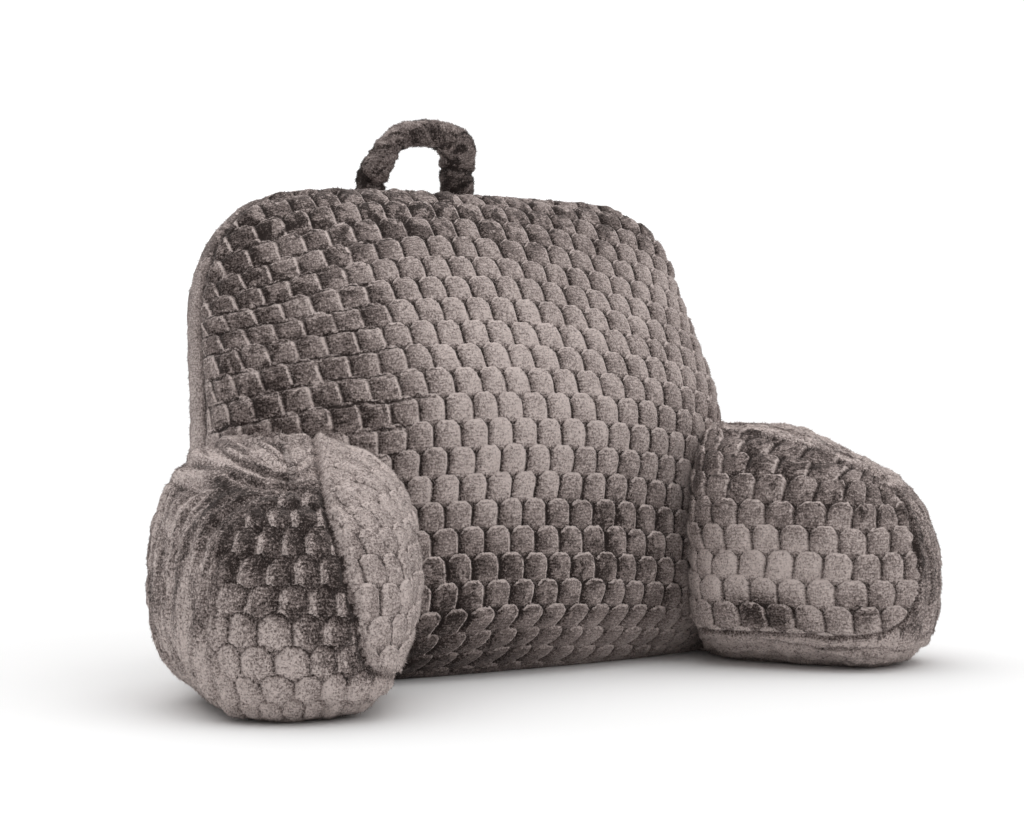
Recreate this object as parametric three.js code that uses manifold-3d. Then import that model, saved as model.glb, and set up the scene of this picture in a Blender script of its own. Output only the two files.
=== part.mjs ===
// A reading pillow: a leaning back cushion, two stuffed arms that flare forwards and a
// carrying handle on the top rear edge. Each is one filled solid of plush cloth.
// Units are millimetres. X runs across the seat, +Y to the rear and +Z up. The pillow
// stands on Z = 0, and its bounding box is centred on X = 0 and Y = 0.
import * as THREE from "three";
import { mergeVertices } from "three/addons/utils/BufferGeometryUtils.js";
import Module from "manifold-3d";

const wasm = await Module();
wasm.setup();

// ---------------------------------------------------------------- driving dimensions
const SEWN_GAP = 0.35; // between two pieces that are sewn to each other

const BACK = {
  height: 460,
  cornerRadius: 110, // of the two top corners, seen from the front
  cornerPower: 2.6,
  frontPower: 2.17, // fullness of the front panel's crown, 2 is an ellipse
  rearPower: 3.0, // the rear panel is blunter
  archRise: 16.5, // the top edge stands this much higher in its middle
  archSkew: -7, // and the filling has gone a little to the left
  archHalfWidth: 276,
  archPower: 3, // how quickly the arch dies away below the top edge
};

// The back cushion by height: its middle's X, half its width between the side seams
// (before the top corners are rounded), and the Y of the front panel's middle, of the
// side seams and of the rear panel's middle.
const BACK_SECTIONS = [
  { height: 0, middle: 0, halfWidth: 300, front: -40, seam: 20, rear: 88 },
  { height: 12, middle: 0, halfWidth: 309, front: -52, seam: 21, rear: 104 },
  { height: 35, middle: 0, halfWidth: 313, front: -75, seam: 23, rear: 122 },
  { height: 80, middle: 0, halfWidth: 312, front: -92, seam: 26, rear: 131 },
  { height: 150, middle: 1, halfWidth: 305, front: -90, seam: 31, rear: 136 },
  { height: 257, middle: 3, halfWidth: 297, front: -90, seam: 49, rear: 148 },
  { height: 350, middle: -4, halfWidth: 285, front: -41, seam: 65, rear: 157 },
  { height: 412, middle: -5, halfWidth: 279, front: 11, seam: 64, rear: 143 },
  { height: 445, middle: -5, halfWidth: 277, front: 44, seam: 66, rear: 120 },
  { height: 456, middle: -5, halfWidth: 276, front: 64, seam: 73, rear: 100 },
  { height: 460, middle: -5, halfWidth: 276, front: 75, seam: 77, rear: 81 },
];

// An arm, as the right one: a bolster whose axis leaves its root at (rootX, rootY) and
// runs forwards and outwards. It is flat where it stands and domed at its tip.
const ARM = {
  rootX: 287.7,
  rootY: -99.6,
  length: 168.5,
  flareDegrees: 23.55, // of the axis, outwards from straight ahead
  turnDegrees: -2.9, // the axis bends this much from root to tip
  rootHalfWidth: 120.3,
  tipHalfWidth: 70.5,
  halfWidthSwell: 10.7, // at mid length
  innerSwell: -2.4,
  outerSwell: -4.9,
  rootHalfHeight: 117.8,
  tipHalfHeight: 81.9,
  tipDropPower: 1.35,
  domeLength: 69.3,
  domePower: 2.5,
  domeShare: 0.9995, // the last ring stops this far along the dome, just open
  sectionPower: 2.58, // fullness of the section, 2 is an ellipse
  rootReach: 128, // the arm runs on this far behind its root, into the cushion
  outerRounding: 132, // and its outer side turns in over this length behind the root
  innerRounding: 74, // the inner side turns in sooner, where it is sewn on
  roundingPower: 2.2,
  contactDepth: 2.5, // how far the soft underside is pressed flat
};

// The two arms, with the half height that each one's filling adds at the cushion.
const ARMS = [
  { name: "arm_right", mirrored: false, rootRise: 5 },
  { name: "arm_left", mirrored: true, rootRise: 0 },
];

// The handle's two edges: X across and Z up, the inner edge round the opening and the
// outer edge. Its two ends run down into the rear of the top edge.
const HANDLE_EDGES = [
  { innerX: -52, innerZ: 425, outerX: -80, outerZ: 425 },
  { innerX: -51.5, innerZ: 476, outerX: -80, outerZ: 480 },
  { innerX: -46, innerZ: 488, outerX: -78.5, outerZ: 499 },
  { innerX: -39, innerZ: 500, outerX: -68, outerZ: 511.5 },
  { innerX: -33.5, innerZ: 511, outerX: -54, outerZ: 526 },
  { innerX: -26.5, innerZ: 520.5, outerX: -39.5, outerZ: 541 },
  { innerX: -10, innerZ: 524, outerX: -12, outerZ: 551 },
  { innerX: 14, innerZ: 521.5, outerX: 20, outerZ: 550.5 },
  { innerX: 19, innerZ: 519.5, outerX: 38, outerZ: 547.5 },
  { innerX: 20.5, innerZ: 516, outerX: 52, outerZ: 539 },
  { innerX: 20.5, innerZ: 511, outerX: 59.5, outerZ: 524 },
  { innerX: 20, innerZ: 500, outerX: 58.5, outerZ: 504 },
  { innerX: 20, innerZ: 480, outerX: 58, outerZ: 480 },
  { innerX: 20, innerZ: 425, outerX: 58, outerZ: 425 },
];
const HANDLE = {
  y: 122, // its plane, behind the top edge
  halfDepth: 15.5, // front to rear
  sectionPower: 2.4,
};

// ---------------------------------------------------------------- fineness of the mesh
const BACK_RING_POINTS = 52;
const BACK_RINGS = 34;
const ARM_RING_POINTS = 36;
const ARM_ROOT_RINGS = 7;
const ARM_BODY_RINGS = 8;
const ARM_DOME_RINGS = 10;
const HANDLE_RING_POINTS = 14;
const HANDLE_RINGS = 52;
const SAME_POINT = 1e-4;

// ---------------------------------------------------------------- helpers
const DEGREE = Math.PI / 180;
const FULL_TURN = 2 * Math.PI;

// A superellipse's cosine or sine: its sign kept, its size raised to 2 / power.
function rounded(value, power) {
  return Math.sign(value) * Math.abs(value) ** (2 / power);
}

// 1 at 0 and 0 at 1, falling late and steeply, as a quarter of a superellipse does.
function quarterRound(share, power) {
  const inside = THREE.MathUtils.clamp(share, 0, 1);
  return (1 - inside ** power) ** (1 / power);
}

// A smooth curve through one column of a table, read at place `at` (a rising measure
// of the rows, given by placeOf).
function readTable(rows, column, placeOf, at) {
  const places = rows.map(placeOf);
  const values = rows.map((row) => row[column]);
  const last = rows.length - 1;
  let i = 0;
  while (i < last - 1 && places[i + 1] <= at) i += 1;
  const slope = (a, b) => (values[b] - values[a]) / (places[b] - places[a]);
  const tangent = (k) => {
    if (k === 0) return slope(0, 1);
    if (k === last) return slope(last - 1, last);
    return (slope(k - 1, k) + slope(k, k + 1)) / 2;
  };
  const span = places[i + 1] - places[i];
  const t = THREE.MathUtils.clamp((at - places[i]) / span, 0, 1);
  const startPart = (2 * t ** 3 - 3 * t ** 2 + 1) * values[i];
  const startTangent = (t ** 3 - 2 * t ** 2 + t) * span * tangent(i);
  const endPart = (3 * t ** 2 - 2 * t ** 3) * values[i + 1];
  const endTangent = (t ** 3 - t ** 2) * span * tangent(i + 1);
  return startPart + startTangent + endPart + endTangent;
}

// A closed solid through rings of equally many points, each end closed by a fan about
// its ring's middle.
function solidThroughRings(rings) {
  const count = rings[0].length;
  const positions = [];
  const faces = [];
  for (const ring of rings) for (const p of ring) positions.push(p.x, p.y, p.z);
  for (let r = 0; r + 1 < rings.length; r += 1) {
    for (let i = 0; i < count; i += 1) {
      const a = r * count + i;
      const b = r * count + ((i + 1) % count);
      faces.push(a, b, b + count);
      faces.push(a, b + count, a + count);
    }
  }
  const capRings = [rings[0], rings[rings.length - 1]];
  capRings.forEach((ring, end) => {
    const middle = new THREE.Vector3();
    for (const p of ring) middle.addScaledVector(p, 1 / count);
    const hub = positions.length / 3;
    positions.push(middle.x, middle.y, middle.z);
    const first = end === 0 ? 0 : (rings.length - 1) * count;
    for (let i = 0; i < count; i += 1) {
      const a = first + i;
      const b = first + ((i + 1) % count);
      if (end === 0) faces.push(b, a, hub);
      else faces.push(a, b, hub);
    }
  });
  const geometry = new THREE.BufferGeometry();
  geometry.setAttribute("position", new THREE.Float32BufferAttribute(positions, 3));
  geometry.setIndex(faces);
  return geometry;
}

function toManifold(geometry) {
  const merged = mergeVertices(geometry, SAME_POINT);
  const mesh = new wasm.Mesh({
    numProp: 3,
    vertProperties: new Float32Array(merged.attributes.position.array),
    triVerts: new Uint32Array(merged.index.array),
  });
  return new wasm.Manifold(mesh);
}

function toGeometry(manifold) {
  const mesh = manifold.getMesh();
  const geometry = new THREE.BufferGeometry();
  const positions = new THREE.BufferAttribute(new Float32Array(mesh.vertProperties), 3);
  geometry.setAttribute("position", positions);
  geometry.setIndex(new THREE.BufferAttribute(new Uint32Array(mesh.triVerts), 1));
  return geometry;
}

// ---------------------------------------------------------------- back cushion
// Heights are read on a scale that is fine near the top edge, where the panels close.
function closingScale(height) {
  return -Math.sqrt(1 - height / BACK.height);
}

function backSection(height, grow) {
  const byHeight = (column) =>
    readTable(BACK_SECTIONS, column, (row) => row.height, height);
  const byClosing = (column) =>
    readTable(
      BACK_SECTIONS,
      column,
      (row) => closingScale(row.height),
      closingScale(height),
    );
  const intoCorner = (height - (BACK.height - BACK.cornerRadius)) / BACK.cornerRadius;
  const cornerLoss = BACK.cornerRadius * (1 - quarterRound(intoCorner, BACK.cornerPower));
  return {
    middle: byHeight("middle"),
    halfWidth: byHeight("halfWidth") - cornerLoss + grow,
    front: byClosing("front") - grow,
    seam: byClosing("seam"),
    rear: byClosing("rear") + grow,
  };
}

// The top edge's arch lifts each point by a share that grows with its height.
function archLift(x, height) {
  const across = x / BACK.archHalfWidth;
  const share = (height / BACK.height) ** BACK.archPower;
  const shape = BACK.archRise + BACK.archSkew * across;
  return share * shape * (1 - across ** 2);
}

function backRing(height, grow) {
  const section = backSection(height, grow);
  const ring = [];
  for (let i = 0; i < BACK_RING_POINTS; i += 1) {
    const angle = (FULL_TURN * i) / BACK_RING_POINTS;
    const isFront = Math.sin(angle) < 0;
    const power = isFront ? BACK.frontPower : BACK.rearPower;
    const depth = isFront ? section.seam - section.front : section.rear - section.seam;
    const x = section.middle + section.halfWidth * rounded(Math.cos(angle), power);
    const y = section.seam + depth * rounded(Math.sin(angle), power);
    ring.push(new THREE.Vector3(x, y, height + archLift(x, height)));
  }
  return ring;
}

// `grow` is how far every side and the top stand outside the true surface.
function backGeometry(grow) {
  const rings = [];
  for (let r = 0; r <= BACK_RINGS; r += 1) {
    const share = r / BACK_RINGS;
    // Rings lie closer together at the foot and at the top edge.
    const eased = (1 - Math.cos(Math.PI * share)) / 2;
    rings.push(backRing(BACK.height * eased, grow));
  }
  for (const p of rings[rings.length - 1]) p.z += grow;
  for (const p of rings[0]) p.z -= grow;
  return solidThroughRings(rings);
}

// ---------------------------------------------------------------- arms
// Where the axis is, and its direction, at a share of the arm's length.
function armAxis(share) {
  const flare = ARM.flareDegrees * DEGREE;
  const turn = ARM.turnDegrees * DEGREE;
  const along = Math.max(share, 0);
  const middleAngle = flare + (turn * (along - 1)) / 2;
  const angle = flare + turn * (along - 0.5);
  const run = share * ARM.length;
  return {
    x: ARM.rootX + run * Math.sin(middleAngle),
    y: ARM.rootY - run * Math.cos(middleAngle),
    sideX: Math.cos(angle),
    sideY: Math.sin(angle),
  };
}

function armRing(run, rootRise) {
  const share = THREE.MathUtils.clamp(run / ARM.length, 0, 1);
  const swell = Math.sin(Math.PI * share);
  const intoDome = (run - (ARM.length - ARM.domeLength)) / ARM.domeLength;
  const dome = quarterRound(intoDome, ARM.domePower);
  const outerTurn = quarterRound(-run / ARM.outerRounding, ARM.roundingPower);
  const innerTurn = quarterRound(-run / ARM.innerRounding, ARM.roundingPower);
  const taper = (ARM.tipHalfWidth - ARM.rootHalfWidth) * share;
  const halfWidth = ARM.rootHalfWidth + taper + ARM.halfWidthSwell * swell;
  const outer = (halfWidth + ARM.outerSwell * swell) * dome * outerTurn;
  const inner = (halfWidth + ARM.innerSwell * swell) * dome * innerTurn;
  const drop = (ARM.tipHalfHeight - ARM.rootHalfHeight) * share ** ARM.tipDropPower;
  const rise = rootRise * THREE.MathUtils.clamp(-run / ARM.rootReach, 0, 1);
  const middleHeight = ARM.rootHalfHeight + drop + rise;
  const halfHeight = middleHeight * dome;
  const axis = armAxis(run / ARM.length);
  const ring = [];
  for (let i = 0; i < ARM_RING_POINTS; i += 1) {
    const angle = (FULL_TURN * i) / ARM_RING_POINTS;
    const sideways = rounded(Math.cos(angle), ARM.sectionPower);
    const upwards = rounded(Math.sin(angle), ARM.sectionPower);
    const offset = sideways * (sideways > 0 ? outer : inner);
    const x = axis.x + axis.sideX * offset;
    const y = axis.y + axis.sideY * offset;
    ring.push(new THREE.Vector3(x, y, middleHeight + halfHeight * upwards));
  }
  return ring;
}

function armGeometry(rootRise) {
  const runs = [];
  for (let i = 0; i < ARM_ROOT_RINGS; i += 1) {
    const quarter = ((Math.PI / 2) * i) / ARM_ROOT_RINGS;
    runs.push(-ARM.rootReach * Math.cos(quarter));
  }
  const bodyLength = ARM.length - ARM.domeLength;
  for (let i = 0; i < ARM_BODY_RINGS; i += 1) runs.push((bodyLength * i) / ARM_BODY_RINGS);
  for (let i = 0; i <= ARM_DOME_RINGS; i += 1) {
    const quarter = ((Math.PI / 2) * i) / ARM_DOME_RINGS;
    runs.push(bodyLength + ARM.domeLength * ARM.domeShare * Math.sin(quarter));
  }
  const geometry = solidThroughRings(runs.map((run) => armRing(run, rootRise)));
  geometry.translate(0, 0, -ARM.contactDepth);
  return geometry;
}

// ---------------------------------------------------------------- handle
function handleGeometry() {
  const edge = (points) => new THREE.CatmullRomCurve3(points, false, "centripetal");
  const inner = edge(HANDLE_EDGES.map((e) => new THREE.Vector3(e.innerX, 0, e.innerZ)));
  const outer = edge(HANDLE_EDGES.map((e) => new THREE.Vector3(e.outerX, 0, e.outerZ)));
  const rings = [];
  for (let r = 0; r <= HANDLE_RINGS; r += 1) {
    const from = inner.getPoint(r / HANDLE_RINGS);
    const to = outer.getPoint(r / HANDLE_RINGS);
    const centre = from.clone().add(to).divideScalar(2);
    const halfAcross = from.clone().sub(centre);
    const ring = [];
    for (let i = 0; i < HANDLE_RING_POINTS; i += 1) {
      const angle = (FULL_TURN * i) / HANDLE_RING_POINTS;
      const across = rounded(Math.cos(angle), HANDLE.sectionPower);
      const deep = HANDLE.halfDepth * rounded(Math.sin(angle), HANDLE.sectionPower);
      const p = centre.clone().addScaledVector(halfAcross, across);
      p.y = HANDLE.y + deep;
      ring.push(p);
    }
    rings.push(ring);
  }
  return solidThroughRings(rings);
}

// ---------------------------------------------------------------- seating and assembly
// A box that reaches far past the pillow and stops at the floor.
function belowFloor() {
  const reach = 2000;
  const box = new THREE.BoxGeometry(reach, reach, reach);
  box.deleteAttribute("normal");
  box.deleteAttribute("uv");
  box.translate(0, 0, -reach / 2);
  return toManifold(box);
}

// The largest of a solid's separate pieces: a sewn end that would come out on the
// cushion's far side is cut away with the rest.
function largestPiece(manifold) {
  const pieces = manifold.decompose();
  return pieces.reduce((best, piece) => (piece.volume() > best.volume() ? piece : best));
}

const floorBlock = belowFloor();
const grownBack = toManifold(backGeometry(SEWN_GAP));

const plush = new THREE.MeshStandardMaterial({ color: 0x84797a, roughness: 0.95, metalness: 0 });

function soft(name, geometry) {
  const mesh = new THREE.Mesh(geometry, plush.clone());
  mesh.name = name;
  return mesh;
}

const pillow = new THREE.Group();
pillow.add(soft("back_cushion", backGeometry(0)));

for (const { name, mirrored, rootRise } of ARMS) {
  const standing = toManifold(armGeometry(rootRise)).subtract(floorBlock);
  const arm = mirrored ? standing.mirror([1, 0, 0]) : standing;
  pillow.add(soft(name, toGeometry(largestPiece(arm.subtract(grownBack)))));
}

const wholeHandle = toManifold(handleGeometry());
pillow.add(soft("handle", toGeometry(largestPiece(wholeHandle.subtract(grownBack)))));

// The origin is at the middle of the pillow's footprint box, on the floor.
const bounds = new THREE.Box3().setFromObject(pillow);
pillow.position.y = -(bounds.min.y + bounds.max.y) / 2;

export default pillow;
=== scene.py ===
"""Looks of the reading pillow: plush cushions with a raised tile pattern, and pile."""
import bmesh
import bpy
import math
import numpy as np
from mathutils import Matrix, Vector


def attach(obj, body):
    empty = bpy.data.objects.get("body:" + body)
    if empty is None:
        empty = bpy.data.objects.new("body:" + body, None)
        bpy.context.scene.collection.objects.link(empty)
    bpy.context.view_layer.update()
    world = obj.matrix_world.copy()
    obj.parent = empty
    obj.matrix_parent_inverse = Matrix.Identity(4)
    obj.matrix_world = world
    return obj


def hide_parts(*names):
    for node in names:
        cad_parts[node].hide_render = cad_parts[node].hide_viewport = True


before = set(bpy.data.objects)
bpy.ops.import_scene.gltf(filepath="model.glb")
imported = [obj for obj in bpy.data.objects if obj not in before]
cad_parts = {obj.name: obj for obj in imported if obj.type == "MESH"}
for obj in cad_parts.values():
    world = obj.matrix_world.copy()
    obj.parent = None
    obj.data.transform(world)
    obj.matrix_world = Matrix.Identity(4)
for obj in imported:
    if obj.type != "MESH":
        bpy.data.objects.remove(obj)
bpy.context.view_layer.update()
scene = bpy.context.scene

# All shapes are worked out in millimetres in the pillow's own frame: X across, +Y to
# the rear, Z up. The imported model's frame is the same, moved along Y.
TO_FRAME_Y = 53.092
MM = 0.001
TURN = 2 * math.pi


# ---- small helpers
def ramp(low, high, value):
    """0 at low, 1 at high, smooth between."""
    share = np.clip((value - low) / (high - low), 0, 1)
    return share * share * (3 - 2 * share)


def superpower(value, power):
    """A superellipse's cosine or sine: sign kept, size raised to 2 / power."""
    return np.sign(value) * np.abs(value) ** (2 / power)


def quarter_round(share, power):
    inside = np.clip(share, 0, 1)
    return (1 - inside ** power) ** (1 / power)


def read_table(places, values, at):
    """A smooth curve (cubic Hermite) through values at rising places."""
    places, values = np.asarray(places, float), np.asarray(values, float)
    steps = np.diff(values) / np.diff(places)
    tangents = np.concatenate([steps[:1], (steps[:-1] + steps[1:]) / 2, steps[-1:]])
    i = np.clip(np.searchsorted(places, at, side="right") - 1, 0, len(places) - 2)
    span = places[i + 1] - places[i]
    t = np.clip((at - places[i]) / span, 0, 1)
    start = (2 * t ** 3 - 3 * t ** 2 + 1) * values[i]
    start_slope = (t ** 3 - 2 * t ** 2 + t) * span * tangents[i]
    end = (3 * t ** 2 - 2 * t ** 3) * values[i + 1]
    end_slope = (t ** 3 - t ** 2) * span * tangents[i + 1]
    return start + start_slope + end + end_slope


def noise2(u, v, seed):
    """Smooth noise from -1 to 1 with one wave about every 2 units, seeded."""
    size = 64
    grid = np.random.RandomState(seed).uniform(-1, 1, (size, size))
    iu, iv = np.floor(u).astype(int), np.floor(v).astype(int)
    fu, fv = u - iu, v - iv
    fu, fv = fu * fu * (3 - 2 * fu), fv * fv * (3 - 2 * fv)
    a, b = grid[iu % size, iv % size], grid[(iu + 1) % size, iv % size]
    c, d = grid[iu % size, (iv + 1) % size], grid[(iu + 1) % size, (iv + 1) % size]
    return (a * (1 - fu) + b * fu) * (1 - fv) + (c * (1 - fu) + d * fu) * fv


def waves(s, t, seed, *rows):
    """A sum of smooth noises: each row has its height and its lengths across and up."""
    return sum(row[0] * noise2(s / row[1], t / row[2], seed + k) for k, row in enumerate(rows))


def hash2(i, j, seed):
    """A repeatable random number from 0 to 1 for each pair of whole numbers."""
    size = 128
    grid = np.random.RandomState(seed).uniform(0, 1, (size, size))
    return grid[np.asarray(i, int) % size, np.asarray(j, int) % size]


def blob(u, v, middle_u, middle_v, reach_u, reach_v):
    """A soft patch: 1 at its middle, fading to 0 past its reach."""
    return np.exp(-((u - middle_u) / reach_u) ** 2 - ((v - middle_v) / reach_v) ** 2)


def patches(table, u, v):
    """The sum of soft patches: each row has a strength, a middle and a reach."""
    return sum(strength * blob(u, v, *place) for strength, *place in table)


def unit(vectors):
    return vectors / (np.linalg.norm(vectors, axis=-1, keepdims=True) + 1e-9)


def arc(points, axis):
    """Length along one axis of a grid of points, from its first row or column."""
    steps = np.linalg.norm(np.diff(points, axis=axis), axis=-1)
    return np.concatenate([steps.take([0], axis) * 0, np.cumsum(steps, axis)], axis)


def by_arc(points, count):
    """count points evenly spaced along a polyline, its two ends kept."""
    length = arc(points, 0)
    wanted = np.linspace(0, length[-1], count)
    return np.stack([np.interp(wanted, length, column) for column in points.T], -1)


# ---- raised tile pattern
TILE_WIDTH = 28.2
TILE_HEIGHT = 25.85
TILE_FIRST_ROW = 23.0     # the first row's middle above the hem
TILE_EVEN_GROOVE = 6.0    # a vertical groove of the even rows, from the panel's middle
TILE_TOP_FLAT = 5.6       # half of a tile's flat top edge
TILE_CHAMFER = 8.2        # how far its two top corners are cut down
TILE_CHAMFER_POWER = 1.25
TILE_OVERLAP = 1.6        # how far it stands over the next row
TILE_RELIEF = 5.6
TILE_LEDGE = 0.42         # share of the relief at the foot of a tile's top edge
TILE_SINK = 3.2           # how far the grooves' floor lies under the smooth cushion
STEP_LEVEL = 2.5          # how far the slumped steps lie under the rows' ends
SLUMP_SHARE = 0.70


def tile_cells(s, t):
    """A tile's row and column, the place across it and the distances to its side, top
    and lower edges, at cloth coordinates s (across) and t (up)."""
    half = TILE_WIDTH / 2

    def across(row):
        first = np.where(np.mod(row, 2) == 0, TILE_EVEN_GROOVE, TILE_EVEN_GROOVE + half)
        place = (s - first) / TILE_WIDTH
        column = np.floor(place)
        return column, (place - column - 0.5) * TILE_WIDTH

    def top_edge(row):
        _, a = across(row)
        beyond = np.clip((np.abs(a) - TILE_TOP_FLAT) / (half - TILE_TOP_FLAT), 0, 1)
        drop = TILE_CHAMFER * beyond ** TILE_CHAMFER_POWER
        return TILE_FIRST_ROW + TILE_HEIGHT * (row + 0.5) + TILE_OVERLAP - drop

    row = np.floor((t - TILE_FIRST_ROW) / TILE_HEIGHT + 0.5)
    row = np.where(t > top_edge(row), row + 1, row)
    row = np.where(t <= top_edge(row - 1), row - 1, row)
    column, a = across(row)
    return row, column, a, half - np.abs(a), top_edge(row) - t, t - top_edge(row - 1)


def swelled(distance, width, power=2.3):
    return 1 - (1 - np.clip(distance / width, 0, 1)) ** power


def wandering(s, t, seed, wander=1.3):
    """Cloth coordinates with the pattern's own unevenness added."""
    fine = 0.25 + 0.12 * wander
    s_off = waves(s, t, seed, (wander, 38, 38), (fine, 9, 9))
    t_off = waves(s, t, seed + 2, (wander, 42, 42), (fine, 8, 10))
    return s + s_off, t + t_off


def tile_relief(s, t, seed, hanging=False):
    """Height in mm over the grooves' floor, how deep in a groove a place is, and a tone
    of its tile, at cloth coordinates that already wander."""
    row, column, a, to_side, to_top, to_bottom = tile_cells(s, t)
    if hanging:
        # Its lower end hangs proud over the next row.
        climb = 0.25 + 0.75 * np.clip(to_top / 18.0, 0, 1) ** 0.8
        climb, ledge = climb * swelled(to_bottom, 3.6, 2.0), 1.0
    else:
        # It is thickest under its top edge and thins out towards its lower end.
        tip = TILE_FIRST_ROW + TILE_HEIGHT * (row - 0.5) - TILE_CHAMFER + TILE_OVERLAP
        climb = 0.06 + 0.94 * np.clip((t - tip) / 19.0, 0, 1) ** 0.72
        ledge = TILE_LEDGE + (1 - TILE_LEDGE) * swelled(to_top, 3.4, 2.0)
    fullness = 0.88 + 0.24 * hash2(row, column, seed + 4)
    tilt = (hash2(row, column, seed + 5) - 0.5) * 0.08 * a
    height = np.minimum(climb, ledge) * (TILE_RELIEF * fullness + tilt)
    groove = 1 - swelled(to_side, 3.0, 1.6) * np.clip((climb - 0.06) / 0.38, 0, 1)
    return height * swelled(to_side, 5.2, 2.6), groove, hash2(row, column, seed + 6) - 0.5


# ---- back cushion
BACK_HEIGHT = 460.0
# Each section's height, its middle and half width in X, its front, seam and rear in Y.
BACK_SECTIONS = np.array([
    (0, 0, 300, -40, 20, 88),
    (12, 0, 309, -52, 21, 104),
    (35, 0, 313, -75, 23, 122),
    (80, 0, 312, -92, 26, 131),
    (150, 1, 305, -90, 31, 136),
    (257, 3, 297, -90, 49, 148),
    (350, -4, 285, -41, 65, 157),
    (412, -5, 279, 11, 64, 143),
    (445, -5, 277, 44, 66, 120),
    (456, -5, 276, 64, 73, 100),
    (460, -5, 276, 75, 77, 81),
], float)
BACK_CORNER = 110.0
FRONT_POWER, REAR_POWER = 2.17, 3.0
BACK_ROWS = 226
FRONT_COLUMNS = 260
REAR_COLUMNS = 150


def back_section(z):
    heights, middles, half_widths, *edges = BACK_SECTIONS.T
    closing = -np.sqrt(1 - heights / BACK_HEIGHT)
    at = -np.sqrt(np.maximum(1 - z / BACK_HEIGHT, 0))
    into_corner = (z - (BACK_HEIGHT - BACK_CORNER)) / BACK_CORNER
    loss = BACK_CORNER * (1 - quarter_round(into_corner, 2.6))
    middle = read_table(heights, middles, z)
    half_width = read_table(heights, half_widths, z) - loss
    front, seam, rear = (read_table(closing, edge, at) for edge in edges)
    return middle, half_width, front, seam, rear


def half_section(is_front, front, seam, rear):
    """The roundness and the depth of a section's front or rear half."""
    depth = np.where(is_front, seam - front, rear - seam)
    return np.where(is_front, FRONT_POWER, REAR_POWER), depth


def back_point(angle, z):
    """A point of the smooth back cushion; the front is where sin(angle) < 0."""
    middle, half_width, front, seam, rear = back_section(z)
    power, depth = half_section(np.sin(angle) < 0, front, seam, rear)
    x = middle + half_width * superpower(np.cos(angle), power)
    y = seam + depth * superpower(np.sin(angle), power)
    u = x / 276
    lift = (z / BACK_HEIGHT) ** 3 * (16.5 - 7 * u) * (1 - u ** 2)
    return np.stack(np.broadcast_arrays(x, y, z + lift), -1)


def inside_back(x, y, z):
    """Under 1 inside the back cushion, 1 on its surface (the top edge's arch left out)."""
    middle, half_width, front, seam, rear = back_section(np.clip(z, 0, BACK_HEIGHT - 1))
    power, depth = half_section(y < seam, front, seam, rear)
    return np.abs((x - middle) / half_width) ** power + np.abs((y - seam) / depth) ** power


def back_grid():
    """The smooth cushion as rows of points, with its cloth coordinates and the half
    lengths of each row's front and rear."""
    z_fine = BACK_HEIGHT * (1 - np.linspace(1, 0, 4000) ** 2)
    middle_line = back_point(np.full(z_fine.shape, 1.5 * math.pi), z_fine)
    climbed = arc(middle_line, 0)
    wanted = np.linspace(0, climbed[-1], BACK_ROWS)
    ease = (1 - np.cos(np.linspace(0, math.pi, 500))) / 2
    rows, across, halves = [], [], []
    for z in np.interp(wanted, climbed, z_fine):
        front = back_point(math.pi + math.pi * ease, np.full(500, z))
        rear = back_point(math.pi * ease, np.full(500, z))
        halves_of_row = by_arc(front, FRONT_COLUMNS + 1), by_arc(rear, REAR_COLUMNS + 1)
        rows.append(np.concatenate([line[:-1] for line in halves_of_row]))
        half, rear_half = arc(front, 0)[-1] / 2, arc(rear, 0)[-1] / 2
        across.append(np.concatenate([
            np.linspace(-half, half, FRONT_COLUMNS, endpoint=False),
            half + np.linspace(0, 2 * rear_half, REAR_COLUMNS, endpoint=False),
        ]))
        halves.append((half, rear_half))
    s = np.array(across)
    return np.array(rows), s, np.repeat(wanted[:, None], s.shape[1], 1), np.array(halves)


def raised(grid, height):
    """A closed grid, its rows climbing and its columns running left to right, moved out
    along its normals, and nowhere under the floor."""
    around = np.roll(grid, -1, 1) - np.roll(grid, 1, 1)
    moved = grid + unit(np.cross(around, np.gradient(grid, axis=0))) * height[..., None]
    moved[..., 2] = np.maximum(moved[..., 2], 0)
    return moved


def row_dip(s, t):
    """How far the pattern's rows hang down at either side of the panel."""
    off = s + 58
    left_share = 0.0004 + 0.0004 * ramp(330, 440, t)
    return np.where(off > 0, 0.00034, left_share) * off ** 2


def slumped(x, z):
    """1 where the back's left part has slumped into uneven steps, 0 elsewhere."""
    ragged = 16 * noise2(x / 30, z / 30, 303)
    return ramp(-90, -165, x + ragged) * ramp(190, 245, z) * ramp(458, 425, z)


# Patches of the back's pile: how much lighter, then the middle and reach in X and Z. The two dark
# patches low on the left, by the left arm, are painted shade.
BACK_PATCHES = (
    (-0.18, -50, 448, 110, 22), (0.36, -10, 310, 150, 75), (0.30, -30, 225, 120, 50),
    (-0.22, 85, 150, 90, 70), (-0.20, -120, 85, 85, 45), (-0.50, -140, 15, 110, 40),
    (0.18, -60, 180, 70, 28), (0.30, 130, 8, 80, 30),
)


def back_tone(points, s, t, is_front):
    """Where the back is darker (below 0) or lighter (above 0): the lay of its pile, with painted
    shade low down and painted light beside the right arm.
    """
    x, z = points[..., 0], points[..., 2]
    tone = waves(s, t, 301, (0.08, 60, 60), (0.08, 22, 18))
    tone = tone - 0.40 * slumped(x, z) + patches(BACK_PATCHES, x, z)
    crest = ramp(395, 455, z + 11 * noise2(s / 30, t / 30, 303))
    # Darker over the crest, and painted shade over the lower back, which faces down under its
    # bulge.
    tone = tone - 0.34 * crest - 0.26 * ramp(180, 110, z)
    tone += 0.08 * ramp(160, 185, z) * ramp(215, 190, z)
    # Painted light where the right arm meets the back, lifting the shade there.
    tone += 0.62 * ramp(150, 210, x) * ramp(225, 180, z)
    right = ramp(70, 200, x) * ramp(200, 240, z) * ramp(420, 380, z)
    side = ramp(-283, -296, x) * ramp(150, 230, z)
    tone += 0.13 * right
    return np.where(is_front, tone, 0.45 * tone) + 0.42 * side


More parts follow.
